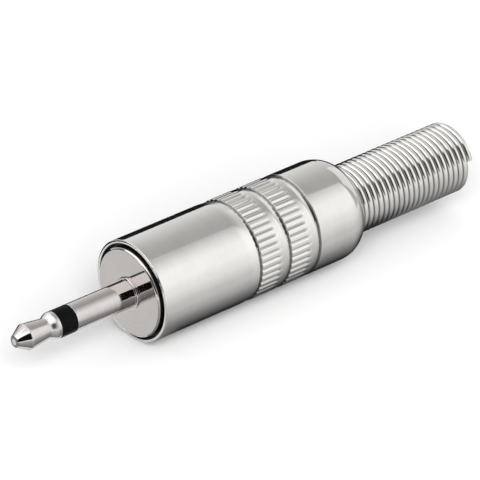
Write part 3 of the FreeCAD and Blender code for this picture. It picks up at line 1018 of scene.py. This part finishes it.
sheet_finish = tinned_sheet()
for name in ("sleeve_lug", "tip_lug"):
    dress(nodes[name], sheet_finish)

# %% Pressed fibre
FIBRE_DEEP = (0.33, 0.115, 0.07)
FIBRE_BRIGHT = (0.45, 0.18, 0.11)
FIBRE_THREAD = (0.62, 0.34, 0.22)


def pressed_fibre():
    """Red-brown pressed fibre: matt, with short pale threads in it."""
    material, tree, shader = new_material("pressed_fibre")
    drawn = mapped(tree, (9000.0, 1500.0, 5000.0))
    threads = noise(tree, drawn, 1.0, detail=4.0, roughness=0.65)
    clouds = use_group(tree, handling, Clouds_per_mm=1.2)["Clouds"]
    ground = blend_colours(tree, clouds, FIBRE_DEEP, FIBRE_BRIGHT)
    pale = stretch(tree, threads, 0.5, 0.75, 0.0, 0.6)
    woven = blend_colours(tree, pale, ground, FIBRE_THREAD)
    polish = stretch(tree, threads, 0.2, 0.8, 0.65, 0.85)
    feed_shader(tree, shader, woven, polish, [(threads, 8e-6)])
    return material


dress(nodes["insulating_washer"], pressed_fibre())

# %% Clear tube
TUBE_DEEP = (0.80, 0.82, 0.81)
TUBE_PALE = (0.90, 0.905, 0.90)


def clear_tube():
    """Clear drawn plastic with a grey cast and faint lines from the die."""
    material, tree, shader = new_material("clear_tube", IOR=1.49)
    drawn = mapped(tree, (120.0, 4000.0, 4000.0))
    lines = noise(tree, drawn, 1.0, detail=3.0, roughness=0.6)
    clouds = use_group(tree, handling, Clouds_per_mm=0.4)["Clouds"]
    cast = blend_colours(tree, clouds, TUBE_DEEP, TUBE_PALE)
    polish = stretch(tree, lines, 0.3, 0.7, 0.16, 0.30)
    feed_shader(tree, shader, cast, polish, [(lines, 3e-6)])
    tree.links.new(stretch(tree, clouds, 0.0, 1.0, 0.5, 0.62), shader.inputs["Alpha"])
    return material


dress(nodes["insulating_tube"], clear_tube())
print("finishes:", ", ".join(sorted(material.name for material in bpy.data.materials)))

# %% [markdown]
# ## Floor and light
#
# Polished metal is drawn by what it mirrors. A cylinder seen from its front end mirrors a ring of
# the room that lies towards its other end, so the light that makes the white band along the
# barrel stands to the right of the camera. The dimmer room above gives the grey band over the
# white one, and along the lower edge the metal mirrors glowing cards with a painted shadow.
#
# The floor is plain white paper without any light of its own, so the plug stands in its own soft
# shadow. A soft lamp behind the camera lights it, and its shadows fall behind the plug. The metal
# doesn't mirror that lamp: there the room stays dark.

# %% Floor
FLOOR_LEVEL = -0.00465
FLOOR_SIZE = 3.0
PAPER_DEEP = (0.965, 0.965, 0.965)
PAPER_PALE = (0.985, 0.985, 0.985)


def floor_paper():
    """White matt paper with a fine tooth."""
    material, tree, shader = new_material("floor_paper", Roughness=0.9, Specular_IOR_Level=0.0)
    tooth = noise(tree, place_on(tree), 900.0, detail=3.0, roughness=0.6)
    paper = blend_colours(tree, tooth, PAPER_DEEP, PAPER_PALE)
    tree.links.new(paper, shader.inputs["Base Color"])
    return material


bpy.ops.mesh.primitive_plane_add(size=FLOOR_SIZE, location=(0.0, 0.0, FLOOR_LEVEL))
floor = bpy.context.object
floor.name = "floor"
dress(floor, floor_paper())

# %% Room light
LEAST_GREY = 0.60
MOST_GREY = 1.05
DARK_SHARE = 0.16


def room_world():
    """A grey room: paler before and behind the plug, dark low on the left, towards the tip."""
    world = bpy.data.worlds.new("room")
    world.use_nodes = True
    tree = world.node_tree
    direction = tree.nodes.new("ShaderNodeTexCoord").outputs["Generated"]
    right, depth, up = parts_of(tree, direction)
    squared = math_node(tree, "MULTIPLY", depth, depth)
    grey = stretch(tree, squared, 0.0, 0.67, LEAST_GREY, MOST_GREY)
    on_right = stretch(tree, right, -0.45, 0.15, DARK_SHARE, 1.0)
    clear = math_node(tree, "MAXIMUM", on_right, stretch(tree, up, 0.5, 0.8))
    background = tree.nodes["Background"]
    tree.links.new(math_node(tree, "MULTIPLY", grey, clear), background.inputs["Strength"])
    set_inputs(background, Color=(1.0, 1.0, 1.0, 1.0))
    return world


bpy.context.scene.world = room_world()

# %% A softbox behind the camera
AIM = Vector((0.01264, 0.0, 0.0))
LIGHT_DISTANCE = 0.7
CAMERA_AZIMUTH = -38.0


def direction_of(azimuth, elevation):
    """The direction from the plug to a place given by azimuth and elevation in degrees."""
    turned = math.radians(azimuth)
    raised = math.radians(elevation)
    return Vector((
        math.sin(turned) * math.cos(raised),
        -math.cos(turned) * math.cos(raised),
        math.sin(raised),
    ))


def softbox(name, azimuth, elevation, width, height, radiance):
    """A soft lamp that looks at the plug; radiance is how bright its face is, 1 for white."""
    light = bpy.data.lights.new(name, "AREA")
    light.shape = "RECTANGLE"
    light.size = width
    light.size_y = height
    light.energy = radiance * math.pi * width * height
    lamp = bpy.data.objects.new(name, light)
    towards = direction_of(azimuth, elevation)
    lamp.location = AIM + towards * LIGHT_DISTANCE
    lamp.rotation_euler = (-towards).to_track_quat("-Z", "Y").to_euler()
    bpy.context.scene.collection.objects.link(lamp)
    print(f"{name}: {light.energy:.2f} W")
    return lamp


camera_softbox = softbox(
    "camera_softbox", CAMERA_AZIMUTH, 33.0, width=0.5, height=0.5, radiance=6.2
)
camera_softbox.visible_glossy = False

# %% [markdown]
# ## Panels and cards
#
# Photographers of polished metal build its picture from panels and cards that it mirrors:
#
# - a lit diffuser on the right is the white band along barrel and pin, and fades upwards,
# - a pale card on the right is mirrored by the bevels of the grooves,
# - bright cards above and on the left are mirrored by the upper half of the tip's cone, and by way
#   of the flange by the root of the pin,
# - black cards behind the plug draw the dark line that parts a pale upper edge from a pale ground,
# - a black card before the camera is the dark streak in the tip's cone and in the pin's root,
# - glowing cards on the floor carry a painted shadow: dark beside the plug and white away from it,
#   so that the lower side of barrel and pin falls off into the dark,
# - a glowing card on the floor behind the pin is what the flange mirrors, all over the same:
#   painted light that stands in for the floor there, which lies partly in the plug's shadow.
#
# The diffuser lights the scene too. The cards are only there for the mirror: they cast no shadow,
# light no floor and stay out of every view.

# %% Helpers for panels and cards
def glow_ramp(tree, share, stops):
    """A level read from stops along a share."""
    ramp = tree.nodes.new("ShaderNodeValToRGB")
    elements = ramp.color_ramp.elements
    for element, (place, level) in zip(elements, (stops[0], stops[-1])):
        element.position = place
        element.color = (level, level, level, 1.0)
    for place, level in stops[1:-1]:
        elements.new(place).color = (level, level, level, 1.0)
    tree.links.new(share, ramp.inputs["Fac"])
    return ramp.outputs["Color"]


def new_glow(name):
    """A material that only glows, with its tree and the input for the colour of its glow."""
    material = bpy.data.materials.new(name)
    material.use_nodes = True
    tree = material.node_tree
    tree.nodes.remove(tree.nodes["Principled BSDF"])
    glow = tree.nodes.new("ShaderNodeEmission")
    tree.links.new(glow.outputs[0], tree.nodes["Material Output"].inputs["Surface"])
    return material, tree, glow.inputs["Color"]


def glowing(name, stops):
    """A lit surface whose level runs along its height, from stops of share and level."""
    material, tree, glow_colour = new_glow(name)
    share = math_node(tree, "ADD", parts_of(tree, place_on(tree))[1], 0.5)
    tree.links.new(glow_ramp(tree, share, stops), glow_colour)
    return material


# %% Panels
def panel(name, place, facing, width, height, finish, mirrored_only=True):
    """A flat card of a size at a place, which looks in a direction."""
    bpy.ops.mesh.primitive_plane_add(size=1.0, location=place)
    card = bpy.context.object
    card.name = name
    card.rotation_euler = facing.to_track_quat("Z", "Y").to_euler()
    card.scale = (width, height, 1.0)
    card.visible_camera = not mirrored_only
    card.visible_diffuse = not mirrored_only
    card.visible_shadow = not mirrored_only
    dress(card, finish)
    return card


def far_panel(name, azimuth, elevation, distance, width, height, finish, mirrored_only=True):
    """A panel in a direction from the plug, which looks at the plug."""
    towards = direction_of(azimuth, elevation)
    place = AIM + towards * distance
    return panel(name, place, -towards, width, height, finish, mirrored_only)


# %% Diffuser and bright cards
DIFFUSER_STOPS = (
    (0.04, 1.18), (0.16, 1.25), (0.24, 1.33), (0.32, 1.40), (0.57, 1.40),
    (0.69, 1.20), (0.80, 0.98), (0.88, 0.80),
)
diffuser_light = glowing("diffuser_light", DIFFUSER_STOPS)
far_panel(
    "diffuser", 42.0, 32.0, LIGHT_DISTANCE,
    width=0.56, height=0.95, finish=diffuser_light, mirrored_only=False,
)
for name, azimuth, elevation, width, height, level in (
    ("right_card", 102.0, 20.5, 0.51, 0.523, 1.1),
    ("rear_left_card", -164.0, 47.0, 0.45, 0.4, 1.35),
    ("left_card", -125.0, 42.0, 0.6, 0.5, 2.2),
    ("left_front_card", -80.0, 50.0, 0.55, 0.35, 2.2),
    ("top_card", -70.0, 72.0, 0.75, 0.65, 1.35),
):
    finish = glowing(name, ((0.0, level), (1.0, level)))
    far_panel(name, azimuth, elevation, LIGHT_DISTANCE, width, height, finish)

# %% Black cards
TO_THE_FRONT = Vector((0.0, -1.0, 0.0))
black_card = new_material(
    "card_black", Base_Color=(0.01, 0.01, 0.01, 1.0), Roughness=1.0, Specular_IOR_Level=0.0
)[0]
far_panel(
    "camera_card", CAMERA_AZIMUTH, 20.0, distance=0.3, width=0.16, height=0.27, finish=black_card
)
for name, left, right, behind, top in (
    ("card_behind_pin", -0.02, 0.0085, 0.014, 0.0022),
    ("card_behind_barrel", 0.0050, 0.03, 0.010, 0.0058),
    ("card_behind_spring", 0.03, 0.09, 0.010, 0.0037),
):
    middle = Vector(((left + right) / 2, behind, (FLOOR_LEVEL + top) / 2))
    panel(name, middle, TO_THE_FRONT, right - left, top - FLOOR_LEVEL, black_card)

# %% Glowing cards on the floor with a painted shadow
GRADED_LENGTH = 0.085
BESIDE_BARREL = (
    (0.034, 0.03), (0.056, 0.25), (0.08, 0.55), (0.114, 0.765), (0.18, 0.86),
    (0.245, 0.97), (0.39, 1.06), (0.94, 1.17),
)
BESIDE_SPRING = ((0.0, 0.12), (0.034, 0.25), (0.056, 0.45), (0.08, 0.65)) + BESIDE_BARREL[3:]
BESIDE_PIN = ((0.0, 0.2), (0.03, 0.28), (0.075, 0.45), (0.2, 0.68), (0.4, 0.9), (0.94, 1.1))


def painted_shadow_glow():
    """A glowing card with a painted shadow: black beside the barrel, white away from it, less dark
    at both ends.
    """
    material, tree, glow_colour = new_glow("painted_shadow_glow")
    along, behind = parts_of(tree, place_on(tree))[:2]
    away = math_node(tree, "DIVIDE", behind, -GRADED_LENGTH)
    level = glow_ramp(tree, away, BESIDE_PIN)
    for start, end, stops in ((0.0, 0.004, BESIDE_BARREL), (0.027, 0.031, BESIDE_SPRING)):
        beside = stretch(tree, along, start, end)
        level = blend_colours(tree, beside, level, glow_ramp(tree, away, stops))
    tree.links.new(level, glow_colour)
    return material


UPWARDS = Vector((0.0, 0.0, 1.0))
ABOVE_FLOOR = 0.00002
FRONT_EDGE = -0.45
painted_shadow_finish = painted_shadow_glow()
for name, left, right, rear in (
    ("painted_shadow_card_pin", -0.03, 0.0005, -0.0018),
    ("painted_shadow_card_barrel", 0.0005, 0.3, 0.004),
):
    middle = Vector(((left + right) / 2, (FRONT_EDGE + rear) / 2, FLOOR_LEVEL + ABOVE_FLOOR))
    painted_shadow_card = panel(name, middle, UPWARDS, right - left, rear - FRONT_EDGE, painted_shadow_finish)
    pick(painted_shadow_card)
    bpy.ops.object.transform_apply(location=True, rotation=True, scale=True)

# %% Glowing card on the floor behind the pin: painted light without the plug's shadow
middle = Vector((-0.0062, 0.0065, FLOOR_LEVEL + ABOVE_FLOOR))
flange_light = glowing("flange_light", ((0.0, 0.95), (1.0, 0.95)))
panel("flange_card", middle, UPWARDS, width=0.0123, height=0.0135, finish=flange_light)

# %% [markdown]
# ## Camera
#
# The photograph was taken from about 36 cm with a long lens, from ahead of the plug and above it.
# The camera stands where the ellipses of rim and grooves, and the way in which the plug gets
# smaller towards its cord's end, put it.

# %% Camera
CAMERA_PLACE = Vector((-0.1912, -0.2386, 0.1820))
VIEW_ANGLE = math.radians(6.55)
SHIFT = (-0.0039, 0.0092)

lens = bpy.data.cameras.new("camera")
lens.angle = VIEW_ANGLE
lens.shift_x, lens.shift_y = SHIFT
camera = bpy.data.objects.new("camera", lens)
camera.location = CAMERA_PLACE
camera.rotation_euler = (AIM - CAMERA_PLACE).to_track_quat("-Z", "Y").to_euler()
bpy.context.scene.collection.objects.link(camera)
bpy.context.scene.camera = camera
bpy.context.scene.view_settings.view_transform = "Standard"
